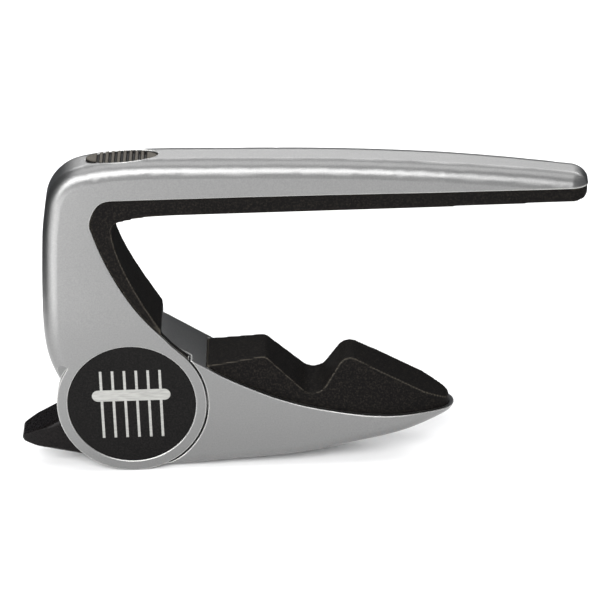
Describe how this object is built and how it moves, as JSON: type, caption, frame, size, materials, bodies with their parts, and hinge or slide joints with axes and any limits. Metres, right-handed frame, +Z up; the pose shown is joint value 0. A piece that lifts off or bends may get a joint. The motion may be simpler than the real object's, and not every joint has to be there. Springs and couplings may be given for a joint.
{
  "type": "guitar capo",
  "caption": "One-hand guitar capo: padded metal arm and back, notched padded jaw on a wrap-spring hub, and a small thumb lever that frees the jaw.",
  "frame": {"origin": "middle of the string pad's contact face, on the capo's mid-plane", "axes": "+X along the arm to its tip, +Y from the front badge to the back badge, +Z up from the strings to the arm's top"},
  "size_m": [0.0918, 0.012, 0.0532],
  "materials": {
    "die_cast_metal": "satin silver, blasted and clear-coated",
    "pad_rubber": "matt moulded rubber",
    "grip_rubber": "ribbed moulded rubber",
    "steel": "turned",
    "spring_steel": "drawn wire",
    "bush_plastic": "natural acetal",
    "badge_black": "black inlay",
    "badge_silver": "silver foil lines",
    "lever_black": "black satin coating"
  },
  "bodies": {
    "frame": {"frame": "die_cast_metal", "string_pad": "pad_rubber", "thumb_grip": "grip_rubber", "clutch_drum": "steel", "drum_screws": "steel", "keep_plate": "steel", "keep_screw": "steel", "keep_washer": "bush_plastic", "cheek_washer": "bush_plastic", "badge_front": "badge_black", "badge_lines_front": "badge_silver"},
    "jaw": {"jaw": "die_cast_metal", "neck_pad": "pad_rubber", "bush_front": "bush_plastic", "bush_back": "bush_plastic", "wrap_spring": "spring_steel", "return_spring": "spring_steel", "badge_back": "badge_black", "badge_lines_back": "badge_silver"},
    "lever": {"release_lever": "lever_black", "tang_pin": "steel"}
  },
  "joints": [
    {"name": "jaw_hinge", "type": "hinge", "parent": "frame", "child": "jaw", "pos_m": [-0.0405, 0, -0.0322], "axis": [0, -1, 0], "range_deg": [-3, 20]},
    {"name": "lever_hinge", "type": "hinge", "parent": "jaw", "child": "lever", "pos_m": [-0.0405, 0, -0.0322], "axis": [0, 1, 0], "range_deg": [0, 12], "stiffness_Nm_per_rad": 0.05, "springref_deg": -5.73, "deforming": ["return_spring"]}
  ]
}
